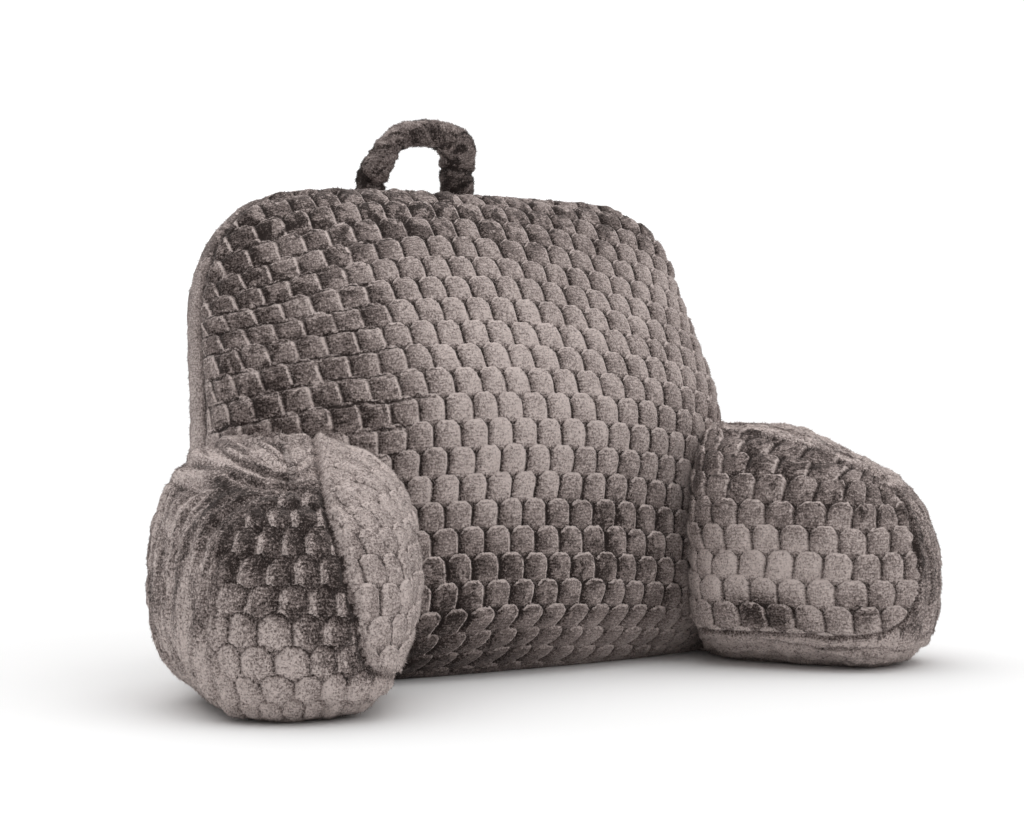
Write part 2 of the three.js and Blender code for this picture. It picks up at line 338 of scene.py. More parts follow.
def back_relief(points, s, t, halves):
    half, rear_half = halves[:, :1], halves[:, 1:]
    is_front = s < half
    lean = 0.5 * np.maximum(78 - t, 0)
    front_cloth = wandering(s + lean, t + row_dip(s, t), 11)
    rear_cloth = wandering(s - half - rear_half, t, 41)
    front = [*tile_relief(*front_cloth, 11), *front_cloth]
    rear = [*tile_relief(*rear_cloth, 41), *rear_cloth]
    height, groove, tile_tone, *cloth = (np.where(is_front, a, b) for a, b in zip(front, rear))
    # On the left the filling has slumped: rows stand over each other in uneven steps.
    slump = slumped(points[..., 0], points[..., 2]) * is_front
    in_row = (front_cloth[1] - TILE_FIRST_ROW + STEP_LEVEL) / TILE_HEIGHT + 0.5
    row = np.floor(in_row)
    in_row = in_row - row
    proud = 3.6 + 5.5 * np.clip(noise2(s / 30, row * 3.7, 77), -0.45, 1)
    step = 2.6 + proud * (np.minimum(in_row * 1.5, 1) * ramp(1.0, 0.9, in_row) - 0.55)
    step += 1.6 * noise2(s / 10, t / 7, 78)
    height = height * (1 - SLUMP_SHARE * slump) + SLUMP_SHARE * slump * step
    # The side seams and the crest seam draw the cloth in.
    to_seam = np.minimum(np.abs(s + half), np.abs(s - half))
    to_seam = np.minimum(to_seam, np.abs(s - half - 2 * rear_half))
    to_crest = t[-1:, :] - t
    flat = ramp(1, 9, to_seam) * ramp(0, 9, to_crest) * ramp(0, 14, t)
    # The rear panel's edges are plain pile, and its tiles are shallow.
    flat = flat * np.where(is_front, 1, 0.65 * ramp(26, 60, to_seam))
    height = (height - TILE_SINK) * flat
    height -= 4.2 * np.exp(-(to_seam / 4.2) ** 2) * ramp(0, 30, t)
    height -= 1.5 * np.exp(-(to_crest / 4) ** 2)
    # Painted shade along the seams, in their drawn-in crease.
    seam = 0.9 * np.exp(-(to_seam / 3.0) ** 2)
    # Broad unevenness of the filling, and the fuzz of the crest.
    height += 2.0 * noise2(s / 75, t / 60, 21) * flat + 0.8 * noise2(s / 27, t / 24, 22)
    height += 1.8 * noise2(s / 8, t / 6, 23) * ramp(34, 6, to_crest)
    return height, groove, seam, flat, slump, tile_tone, is_front, np.stack(cloth, -1)


# ---- arms
ARM = dict(
    root_x=287.7, root_y=-99.6, length=168.5, flare=23.55, turn=-2.9,
    root_half_width=120.3, tip_half_width=70.5, swell=10.7, inner_swell=-2.4,
    outer_swell=-4.9, root_half_height=117.8, tip_half_height=81.9, tip_drop=1.35,
    dome=69.3, dome_power=2.5, section=2.58, reach=128.0, outer_rounding=132.0,
    inner_rounding=74.0, rounding_power=2.2, contact=2.5,
)
ARM_INNER_COLUMNS = 108
ARM_OUTER_COLUMNS = 128
ARM_ROWS = 150
ARM_SEAM_LOW = 34.0
LEVEL_LINE = 60.0         # the level line's height, from which the arms' rows are counted
SEAM_TURN = 8.0           # how softly the seam turns from the side to along the floor
# Where the seam round the inner panel runs: its height and its offset from the middle.
RIGHT_ARM_SEAM = (
    (30, -84), (36, -66), (45, -48), (60, -34), (83, -24), (115, -24), (138, -20),
    (157, -13), (174, -9), (192, -19), (208, -29), (221, -41), (240, -44),
)
LEFT_ARM_SEAM = (
    (30, -74), (50, -56), (68, -50.5), (90, -46), (107, -41), (124, -37), (141, -36),
    (157, -31), (178, -25), (202, -24.5), (260, -30),
)


def arm_width(run, part):
    """Half width of the inner or outer part, and the tip's dome, at a run."""
    share = np.clip(run / ARM["length"], 0, 1)
    swell = np.sin(math.pi * share)
    dome = quarter_round((run - (ARM["length"] - ARM["dome"])) / ARM["dome"], ARM["dome_power"])
    turn = quarter_round(-run / ARM[part + "_rounding"], ARM["rounding_power"])
    half = ARM["root_half_width"] + (ARM["tip_half_width"] - ARM["root_half_width"]) * share
    half = half + ARM["swell"] * swell
    return (half + ARM[part + "_swell"] * swell) * turn, dome


def arm_middle_height(run, root_rise):
    share = np.clip(run / ARM["length"], 0, 1)
    drop = (ARM["tip_half_height"] - ARM["root_half_height"]) * share ** ARM["tip_drop"]
    rise = root_rise * np.clip(-run / ARM["reach"], 0, 1)
    return ARM["root_half_height"] + drop + rise


def arm_place(run, offset):
    """Plan position of a point at a run along the axis and an offset to the outer side."""
    along = np.maximum(run / ARM["length"], 0)
    flare, turn = math.radians(ARM["flare"]), math.radians(ARM["turn"])
    middle_angle = flare + turn * (along - 1) / 2
    angle = flare + turn * (along - 0.5)
    x = ARM["root_x"] + run * np.sin(middle_angle) + np.cos(angle) * offset
    y = ARM["root_y"] - run * np.cos(middle_angle) + np.sin(angle) * offset
    return x, y


def arm_level(w, side, count):
    """One side of the ring at height share w: run and offset, from the rear to the tip."""
    limit = max(1 - abs(w) ** ARM["dome_power"], 0) ** (1 / ARM["dome_power"])
    tip = ARM["length"] - ARM["dome"] + ARM["dome"] * limit
    start = -ARM["inner_rounding"] if side < 0 else -ARM["reach"]
    ease = (1 - np.cos(np.linspace(0, math.pi, 700))) / 2
    run = start + (tip - start) * ease
    width, dome = arm_width(run, "inner" if side < 0 else "outer")
    ratio = np.clip(abs(w) / np.maximum(dome, 1e-6), 0, 1)
    offset = side * (width * dome) * (1 - ratio ** ARM["section"]) ** (1 / ARM["section"])
    offset[-1] = 0
    return by_arc(np.stack([run, offset], -1), count)


def arm_grid(root_rise):
    """The right arm, as rows of points with run, offset and cloth coordinates."""
    angle = np.linspace(-math.pi / 2, math.pi / 2, 3000)
    section = np.stack([112 * superpower(np.cos(angle), ARM["section"]),
                        105 * superpower(np.sin(angle), ARM["section"])], -1)
    length = arc(section, 0)
    row_angles = np.interp(np.linspace(0, length[-1], ARM_ROWS), length, angle)
    w_rows = superpower(np.sin(row_angles), ARM["section"])
    w_rows[0], w_rows[-1] = -0.99995, 0.99995
    rings = []
    for w in w_rows:
        inner = arm_level(w, -1, ARM_INNER_COLUMNS + 1)
        outer = arm_level(w, 1, ARM_OUTER_COLUMNS + 1)[::-1]
        run_offset = np.concatenate([inner[:-1], outer])
        height = arm_middle_height(run_offset[:, 0], root_rise) * (1 + w) - ARM["contact"]
        x, y = arm_place(run_offset[:, 0], run_offset[:, 1])
        rings.append(np.stack([x, y, np.maximum(height, 0), *run_offset.T], -1))
    grid = np.array(rings)
    points, run, offset = grid[..., :3], grid[..., 3], grid[..., 4]
    # Cloth coordinates: across, along the ring at mid height, by the nearest place on
    # the ridge line; up, along each column from a level line over the floor.
    mid = np.concatenate([arm_level(0.0, -1, 600)[:-1], arm_level(0.0, 1, 600)[::-1]])
    mid_arc = arc(mid, 0)
    ridge_end = ARM["length"] - ARM["dome"]

    def bearing(r, n):
        beyond = np.maximum(r - ridge_end, 0)
        turned = np.degrees(np.arctan2(beyond, np.abs(n) + 1e-6))
        progress = np.where(r < ridge_end, r - ridge_end, turned)
        return np.where(n < 0, progress, 180 - progress)

    mid_bearing = bearing(mid[:, 0], mid[:, 1])
    order = np.argsort(mid_bearing)
    s = np.interp(bearing(run, offset), mid_bearing[order], mid_arc[order])
    s = s - np.interp(90.0, mid_bearing[order], mid_arc[order])
    climbed = arc(points, 0)
    level = [np.interp(LEVEL_LINE, z, up) for z, up in zip(points[..., 2].T, climbed.T)]
    t = climbed - np.array(level) + LEVEL_LINE
    return points, run, offset, s, t


def press_to_back(points):
    """Points inside the back cushion move out along the arm to lie on its surface."""
    flare = math.radians(ARM["flare"])
    step = np.array([math.sin(flare), -math.cos(flare)])
    x, y, z = np.moveaxis(points, -1, 0)
    target = 0.975
    hidden = inside_back(x, y, z) < target
    low, high = np.zeros(x.shape), np.full(x.shape, 260.0)
    for _ in range(30):
        middle = (low + high) / 2
        still_in = inside_back(x + step[0] * middle, y + step[1] * middle, z) < target
        low, high = np.where(still_in, middle, low), np.where(still_in, high, middle)
    move = np.where(hidden, high, 0)
    moved = points.copy()
    moved[..., :2] += step * move[..., None]
    return moved, hidden


def arm_streaks(side, s, t, z):
    """Where an outer panel's rows blur into streaks along the arm's outline: upright
    ones at its far side, level ones over its top."""
    ragged = 10 * noise2(s / 20, t / 20, 421 + side)
    if side < 0:
        upright = ramp(62, 92, s + ragged) * ramp(10, 45, z)
        level = ramp(184, 202, z + 0.6 * ragged)
    else:
        upright = ramp(-46, -26, s + ragged) * ramp(20, 40, z)
        level = ramp(38, 28, z) + ramp(160, 180, z)
    return upright * (1 - level), level


def arm_relief(side, points, run, offset, s, t, seed, seam_line):
    z = points[..., 2]
    left = side < 0
    heights, sides = np.array(seam_line, float).T
    beyond_side = offset - np.interp(z, heights, sides)
    over = np.logaddexp(beyond_side / SEAM_TURN, (ARM_SEAM_LOW - z) / SEAM_TURN) * SEAM_TURN
    is_inner = over < 0
    inner_cloth = wandering(s * (TILE_WIDTH / 29.0) + 6.0, t - 4, seed, 2.6)
    # Over the tip the outer panel's cloth is laid flat.
    laid = ramp(120, 180, z)
    outer_cloth = wandering((s - 4) * (1 - laid) + 1.35 * offset * laid, t - 9, seed + 20, 4.0)
    inner = [*tile_relief(*inner_cloth, seed), *inner_cloth]
    outer = [*tile_relief(*outer_cloth, seed + 20, hanging=True), *outer_cloth]
    height, groove, tile_tone, *cloth = (np.where(is_inner, a, b) for a, b in zip(inner, outer))
    distance = np.abs(over)
    upright, level = arm_streaks(side, s, t, z)
    streaked = np.where(is_inner, 0.0, np.clip(upright + level, 0, 1))
    flat = ramp(0.5, 7, distance) * ramp(0, 10, z) * (1 - 0.75 * streaked)
    height = (height - TILE_SINK) * flat * np.where(is_inner, 1.1, 1.0)
    flat = flat * np.where(is_inner, 0.72, 1.0)
    pleats = waves(s, t, seed + 35, (2.4, 6.5, 50), (1.2, 4, 30))
    folds = waves(s, t, seed + 37, (2.6, 45, 6.5), (1.2, 25, 4))
    creased = (1.35 if left else 0.7) * (upright * pleats + np.minimum(level, 1) * folds)
    height += np.where(is_inner, 0.0, creased)
    # The seam is drawn in, beside a ruffled ridge on the inner panel.
    height -= 4.4 * np.exp(-(distance / 3.4) ** 2) * ramp(4, 20, z)
    ruffle = 1 + 0.8 * noise2(t / 7, s * 0, seed + 33) + 0.9 * noise2(t / 3, s * 0, seed + 39)
    ruffle = ruffle * np.exp(-((over + 6.5) / 4.5) ** 2) * ramp(20, 50, z)
    height += (3.4 if left else 2.6) * ruffle
    # Painted shade along the seam, in its drawn-in crease.
    seam = 0.85 * np.exp(-((over - 1) / 3.2) ** 2)
    height += waves(s, t, seed + 31, (2.2, 55, 50), (1.4, 22, 20))
    height += 0.8 * noise2(s / 9, t / 9, seed + 34) * np.where(is_inner, 0.4, 1.0)
    if left:
        # The ruffled ridge takes 0.45 of its ruffle off this painted seam shade, so it comes out
        # lighter.
        seam = seam - 0.45 * ruffle
        # The outer panel's top runs up to the back in a shoulder.
        height += 9.0 * ramp(20, -50, run) * blob(z, z, 214, 214, 26, 26)
    # The outer panel's top and side are looser: their tiles blur into one another.
    slack = np.where(is_inner, 0.0, 0.55)
    return height, groove, seam, flat, slack, tile_tone, is_inner, np.stack(cloth, -1)


# The left arm's dark lay: its edge's height over the floor and its place across the cloth.
LEFT_DARK_EDGE = (
    (40, -24), (57, -12), (71, 14), (89, 30), (102, 52), (118, 62), (140, 86), (186, 150),
    (205, 170),
)
# Patches of the arms' pile, as for the back, but across the cloth and over the floor.
# The left arm's one patch, low at its foot, is painted light that lifts the shade there.
LEFT_PATCHES = ((0.22, 55, 20, 35, 30),)
LEFT_OUTER_PATCHES = ((0.16, 190, 120, 40, 60), (-0.16, 125, 150, 35, 50))
RIGHT_INNER_PATCHES = (
    (0.16, -205, 90, 40, 40), (0.18, -150, 85, 50, 40), (-0.28, -70, 100, 32, 60),
    (-0.57, -90, 62, 20, 16),
)
RIGHT_OUTER_PATCHES = ((-0.42, -14, 110, 34, 70),)
PALEST = 0.25             # above this tone the pile is held back, to keep some grain


def arm_tone(side, s, t, z, is_inner):
    tone = 0.08 * noise2(s / 50, t / 50, 401 + side) + 0.10 * noise2(s / 20, t / 17, 403 + side)
    ragged = 16 * noise2(s / 24, t / 24, 405 + side)
    outer = np.where(is_inner, 0.0, 1.0)
    upright, level = arm_streaks(side, s, t, z)
    streaks = upright * noise2(s / 5, t / 45, 411 + side)
    streaks += np.minimum(level, 1) * noise2(s / 40, t / 5, 413 + side)
    if side < 0:
        # The tip's dark lay ends along a line that leans from its upper outer side to
        # its lower inner side.
        edge = np.interp(z, *np.array(LEFT_DARK_EDGE, float).T)
        tip = ramp(-14, 30, edge - s + ragged) * ramp(36, 62, z + ragged)
        tip = tip * ramp(216, 190, z)
        on_outer = 0.70 * streaks - 0.74 * tip + 0.36 * ramp(110, 50, z) * (1 - tip)
        on_outer += patches(LEFT_OUTER_PATCHES, s, z) + 0.04 * ramp(205, 222, z)
        tone += 0.24 * is_inner + outer * on_outer + patches(LEFT_PATCHES, s, z)
    else:
        upper = ramp(120, 165, z + ragged) + 0.3 * ramp(185, 205, z)
        low = 0.95 * blob(s, z + 0.5 * ragged, -190, 58, 46, 18)
        on_inner = 0.24 - 0.52 * upper - low + patches(RIGHT_INNER_PATCHES, s, z)
        on_outer = 0.50 * streaks + 0.34 * ramp(165, 190, z) + patches(RIGHT_OUTER_PATCHES, s, z)
        # Lighter low down near the floor: the bottom's paler pile, raised further as painted light
        # against the shade under the arm.
        on_outer += (0.60 + 0.4 * streaks) * ramp(40, 20, z)
        tone += on_inner * is_inner + on_outer * outer
    pale = PALEST + 0.25 * np.tanh((tone - PALEST) / 0.25)
    return np.where(tone > PALEST, pale, tone)


# ---- handle
# The inner edge round the opening, then the outer edge: X and Z of each.
HANDLE_EDGES = np.array([
    (-52, 425, -80, 425), (-51.5, 476, -80, 480), (-46, 488, -78.5, 499),
    (-39, 500, -68, 511.5), (-33.5, 511, -54, 526), (-26.5, 520.5, -39.5, 541),
    (-10, 524, -12, 551), (14, 521.5, 20, 550.5), (19, 519.5, 38, 547.5),
    (20.5, 516, 52, 539), (20.5, 511, 59.5, 524), (20, 500, 58.5, 504),
    (20, 480, 58, 480), (20, 425, 58, 425),
], float)
HANDLE_Y = 122.0
HANDLE_HALF_DEPTH = 14.5
HANDLE_SECTION = 2.4
HANDLE_ROUND = 13.5       # its mean radius, for its cloth coordinates
HANDLE_PILE = 1.0         # how far the woven ground lies under the CAD's outline
HANDLE_ROWS = 220
HANDLE_COLUMNS = 48


def smooth_route(route, steps):
    """A centripetal Catmull-Rom curve through a route, steps to each of its spans."""
    ends = np.concatenate([[2 * route[0] - route[1]], route, [2 * route[-1] - route[-2]]])
    curve = []
    for i in range(1, len(ends) - 2):
        p = ends[i - 1:i + 3]
        gaps = np.linalg.norm(np.diff(p, axis=0), axis=1)
        knots = np.concatenate([[0], np.cumsum(gaps ** 0.5)])
        u = np.linspace(knots[1], knots[2], steps, endpoint=False)[:, None]

        def between(a, b, low, high):
            return (high - u) / (high - low) * a + (u - low) / (high - low) * b

        a1, a2, a3 = (between(p[k], p[k + 1], knots[k], knots[k + 1]) for k in range(3))
        b1, b2 = between(a1, a2, knots[0], knots[2]), between(a2, a3, knots[1], knots[3])
        curve.append(between(b1, b2, knots[1], knots[2]))
    return np.concatenate(curve + [route[-1:]])


def handle_grid():
    inner = smooth_route(HANDLE_EDGES[:, :2], 24)
    outer = smooth_route(HANDLE_EDGES[:, 2:], 24)
    even = by_arc(np.concatenate([(inner + outer) / 2, inner, outer], 1), HANDLE_ROWS)
    centre, inner, outer = even[:, :2], even[:, 2:4], even[:, 4:]
    across = (outer - inner) / 2
    half = np.linalg.norm(across, axis=1, keepdims=True)
    outward = across / half
    angle = TURN * np.arange(HANDLE_COLUMNS) / HANDLE_COLUMNS
    along = arc(centre, 0)[:, None]
    around = np.repeat(angle[None, :], HANDLE_ROWS, 0)
    a = superpower(np.cos(angle), HANDLE_SECTION)[None, :] * (half - HANDLE_PILE)
    b = superpower(np.sin(angle), HANDLE_SECTION)[None, :] * HANDLE_HALF_DEPTH
    # Gathers and folds of the plush, deepest inside the right corner.
    ring = np.cos(around), np.sin(around)

    def round_waves(seed, *rows):
        """Noises that close round the tube: height, length along, turn, start, turn."""
        return sum(
            height * noise2(along / reach + turn * ring[0], start + turns * ring[1], seed + k)
            for k, (height, reach, turn, start, turns) in enumerate(rows))

    gathers = round_waves(501, (1.8, 11, 1, 3, 1.4), (1.2, 4.5, 2, 9, 2.2), (0.5, 2.2, 3, 5, 4))
    fold = 3.4 * np.exp(-((along - 218 - 5 * ring[0]) / 3.4) ** 2)
    fold += 2.4 * np.exp(-((along - 66 - 9 * ring[1]) / 3.0) ** 2)
    fold += 2.6 * np.exp(-((ring[0] + 0.10) / 0.16) ** 2) * ramp(222, 240, along)
    grown = 1 + (gathers - fold) / (np.sqrt(a ** 2 + b ** 2) + 1e-6)
    x, z = (centre[:, k:k + 1] + outward[:, k:k + 1] * (a * grown) for k in (0, 1))
    points = np.stack([x, HANDLE_Y + b * grown, z], -1)
    # Its tone: the handle's own darker colour with random patches, painted light on the side that
    # faces up, and painted shade under the fold in the right corner.
    shade = -0.60 + round_waves(504, (0.46, 12, 1, 7, 1.5), (0.34, 5, 2, 1, 2.5))
    shade += 0.26 * ramp(0.2, 0.9, outward[:, 1:] * ring[0])
    shade -= 0.25 * ramp(225, 245, along)
    along = np.repeat(along, HANDLE_COLUMNS, 1)
    # The last value is painted shade in the folds' creases.
    return points, around * HANDLE_ROUND, along, shade, np.clip(fold / 3, 0, 1)


# ---- meshes
WELD = 0.02               # points this close, in mm, are one point


def to_frame(points):
    moved = np.array(points, float)
    moved[..., 1] += TO_FRAME_Y
    return moved * MM


def new_object(name, data):
    made = bpy.data.objects.new(name, data)
    scene.collection.objects.link(made)
    return made


def new_piece(name, points, faces, floats, cloth=None):
    """A mesh object from points in mm, lists of equal-sided faces and point values."""
    mesh = bpy.data.meshes.new(name)
    corners = np.concatenate([f.ravel() for f in faces]).astype(np.int32)
    sizes = np.concatenate([np.full(len(f), f.shape[1]) for f in faces])
    starts = np.concatenate([[0], np.cumsum(sizes)[:-1]]).astype(np.int32)
    mesh.vertices.add(len(points))
    mesh.vertices.foreach_set("co", to_frame(points).astype(np.float32).ravel())
    mesh.loops.add(len(corners))
    mesh.loops.foreach_set("vertex_index", corners)
    mesh.polygons.add(len(sizes))
    mesh.polygons.foreach_set("loop_start", starts)
    mesh.polygons.foreach_set("use_smooth", np.full(len(sizes), True))
    mesh.update(calc_edges=True)
    for key, values in floats.items():
        layer = mesh.attributes.new(key, "FLOAT", "POINT")
        layer.data.foreach_set("value", np.asarray(values, np.float32).ravel())
    if cloth is not None:
        layer = mesh.uv_layers.new(name="cloth")
        layer.data.foreach_set("uv", (cloth[corners] * MM).astype(np.float32).ravel())
    mesh.validate()
    return new_object(name, mesh)


def weld(mesh):
    """Joins points that lie on one another, where rows run together at a piece's end."""
    work = bmesh.new()
    work.from_mesh(mesh)
    bmesh.ops.remove_doubles(work, verts=work.verts, dist=WELD * MM)
    work.to_mesh(mesh)
    work.free()


def ring_quads(rows, columns, closed=True):
    r = np.arange(rows - 1)[:, None]
    c = np.arange(columns if closed else columns - 1)[None, :]
    a = r * columns + c
    b = r * columns + (c + 1) % columns
    return np.stack([a, b, b + columns, a + columns], -1).reshape(-1, 4)


def cap(start, columns, split, key):
    """Triangles over one ring of a grid, from its start: the columns before split face
    the columns after, and both lines are walked together by key."""
    first = list(range(start, start + split + 1))
    second = [start] + list(range(start + columns - 1, start + split - 1, -1))
    triangles = []
    i = j = 0
    while i < len(first) - 1 or j < len(second) - 1:
        step_first = j == len(second) - 1
        if not step_first and i < len(first) - 1:
            step_first = key[first[i + 1]] <= key[second[j + 1]]
        if step_first:
            triangles.append((first[i], first[i + 1], second[j]))
            i += 1
        else:
            triangles.append((first[i], second[j + 1], second[j]))
            j += 1
    return np.array([t for t in triangles if len(set(t)) == 3], int)


def close_ends(rows, columns, split, key):
    """Caps a grid's last and first rows."""
    top, base = (cap(start, columns, split, key) for start in ((rows - 1) * columns, 0))
    return np.concatenate([top, base[:, ::-1]])


# ---- cloth simulation
CLOTH_STEP = 5            # every fifth row and column of a grid makes its cage
CLOTH_PRESSURE = 4.0
CLOTH_FRAMES = 20
CLOTH_CAP = 2.6           # the most a point may move, in mm
CLOTH_SHRINK = -0.03
CLOTH_SHORTEST = 1.5      # rows closer than this to the row below stay out of the cage


def spread(values, kept, count, axis):
    """Values at kept indices of an axis, worked out for each of its count indices."""
    every = np.arange(count)
    return np.apply_along_axis(lambda line: np.interp(every, kept, line), axis, values)


def puffed(grid, pinned, split, key):
    """The grid after a cloth simulation with air pressure inside, on a coarse cage."""
    rows, columns = grid.shape[:2]
    kept_rows = []
    for row in range(0, rows, CLOTH_STEP):
        gaps = np.linalg.norm(grid[row] - grid[min(row + CLOTH_STEP, rows - 1)], axis=1)
        if gaps.min() > CLOTH_SHORTEST:
            kept_rows.append(row)
    kept_columns = np.unique(np.append(np.arange(0, columns, CLOTH_STEP), [split, columns - 1]))
    picked = np.ix_(kept_rows, kept_columns)
    size = len(kept_rows), len(kept_columns)
    cage_points = grid[picked].reshape(-1, 3)
    coarse_split = int(np.searchsorted(kept_columns, split))
    ends = close_ends(*size, coarse_split, key[picked].reshape(-1))
    cage = new_piece("cage", cage_points, [ring_quads(*size), ends], {})
    held = cage.vertex_groups.new(name="held")
    for number, weight in enumerate(pinned[picked].reshape(-1)):
        if weight > 0:
            held.add([number], float(weight), "REPLACE")
    cloth = cage.modifiers.new("Cloth", "CLOTH")
    settings = cloth.settings
    settings.use_pressure = True
    settings.uniform_pressure_force = CLOTH_PRESSURE
    settings.effector_weights.gravity = 0
    settings.vertex_group_mass = "held"
    settings.shrink_min = CLOTH_SHRINK
    cloth.collision_settings.use_collision = False
    cloth.point_cache.frame_end = CLOTH_FRAMES
    for frame_number in range(1, CLOTH_FRAMES + 1):
        scene.frame_set(frame_number)
    settled = cage.evaluated_get(bpy.context.evaluated_depsgraph_get()).data
    after = np.zeros(len(settled.vertices) * 3, np.float32)
    settled.vertices.foreach_get("co", after)
    move = (after.reshape(-1, 3) - to_frame(cage_points)) / MM
    scene.frame_set(1)
    mesh = cage.data
    bpy.data.objects.remove(cage)
    bpy.data.meshes.remove(mesh)
    far = np.linalg.norm(move, axis=1, keepdims=True) + 1e-9
    shrink = min(1, 1.4 * CLOTH_CAP / np.percentile(far, 95))
    capped = CLOTH_CAP * np.tanh(far * shrink / CLOTH_CAP)
    move = (move / far * capped).reshape(*size, 3)
    move = np.concatenate([move, move[:, :1]], 1)
    move = spread(move, np.append(kept_columns, columns), columns, 1)
    return grid + spread(move, kept_rows, rows, 0)


# ---- pile
PILE_TUFTS = {"back": 49000, "right_arm": 34000, "left_arm": 36000, "handle": 11000}
TUFT_LENGTH = 2.2, 4.2    # in mm, from and to
TUFT_HALF_WIDTH = 0.35, 0.65
TUFT_RISE = 12, 52        # degrees over the cloth
TUFT_ROOT = 0.6           # how far its root is sunk into the cloth


def add_pile(name, source, count, seed):
    """Little tapering tufts over a grid, as one joined mesh of closed spikes."""
    rng = np.random.RandomState(seed)
    grid = source["points"]
    quads = ring_quads(*grid.shape[:2], closed=source["closed"])
    corner = grid.reshape(-1, 3)[quads]
    crossed = np.cross(corner[:, 2] - corner[:, 0], corner[:, 3] - corner[:, 1])
    down = unit(corner[:, 0] + corner[:, 1] - corner[:, 2] - corner[:, 3])
    weight = np.linalg.norm(crossed, axis=1) / 2 * source["keep"].reshape(-1)[quads].min(1)
    chosen = rng.choice(len(weight), count, p=weight / weight.sum())
    u, v = rng.rand(count, 1), rng.rand(count, 1)
    corner = corner[chosen]
    root = (corner[:, 0] * (1 - u) + corner[:, 1] * u) * (1 - v)
    root = root + (corner[:, 3] * (1 - u) + corner[:, 2] * u) * v
    n, d = unit(crossed)[chosen], down[chosen]
    swing = rng.normal(0, 0.5, (count, 1))
    lean = d * np.cos(swing) + np.cross(n, d) * np.sin(swing)
    rise = np.radians(rng.uniform(*TUFT_RISE, (count, 1)))
    direction = lean * np.cos(rise) + n * np.sin(rise)
    length = rng.uniform(*TUFT_LENGTH, (count, 1))
    width = rng.uniform(*TUFT_HALF_WIDTH, (count, 1))
    across = unit(np.cross(direction, n))
    root = root - n * TUFT_ROOT
    belly = root + np.cross(across, direction) * width * 0.9
    tip = root + direction * length
    points = np.stack([root - across * width, root + across * width, belly, tip], 1).reshape(-1, 3)
    points[:, 2] = np.maximum(points[:, 2], 0.05)
    spike = np.array([(0, 2, 1), (0, 1, 3), (1, 2, 3), (2, 0, 3)])
    faces = (4 * np.arange(count)[:, None, None] + spike[None]).reshape(-1, 3)
    first = quads[chosen, 0]
    tone = source["tone"].reshape(-1)[first] + rng.normal(0.06, 0.16, count)
    # Painted shade for tufts rooted in a tile groove; it goes into the seam attribute.
    shade = np.repeat(source["groove"].reshape(-1)[first] * 0.8, 4)
    floats = {"tone": np.repeat(tone, 4), "seam": shade, "flat": shade * 0}
    return new_piece(name, points, [faces], floats)


# ---- materials
COMB_PITCH = 3.1          # the pile's fine ripples, in mm
DARK = (0.026, 0.018, 0.016, 1)
MID = (0.215, 0.172, 0.160, 1)
LIGHT = (0.620, 0.530, 0.500, 1)
SHEEN_TINT = (0.86, 0.80, 0.77, 1)


def set_inputs(tree, node, inputs):
    """Sets a node's inputs, each to a number or colour or to another node's output."""
    for key, value in inputs.items():
        if isinstance(value, bpy.types.NodeSocket):
            tree.links.new(value, node.inputs[key])
        else:
            node.inputs[key].default_value = value
    return node


def add_node(tree, kind, inputs):
    return set_inputs(tree, tree.nodes.new("ShaderNode" + kind), inputs)


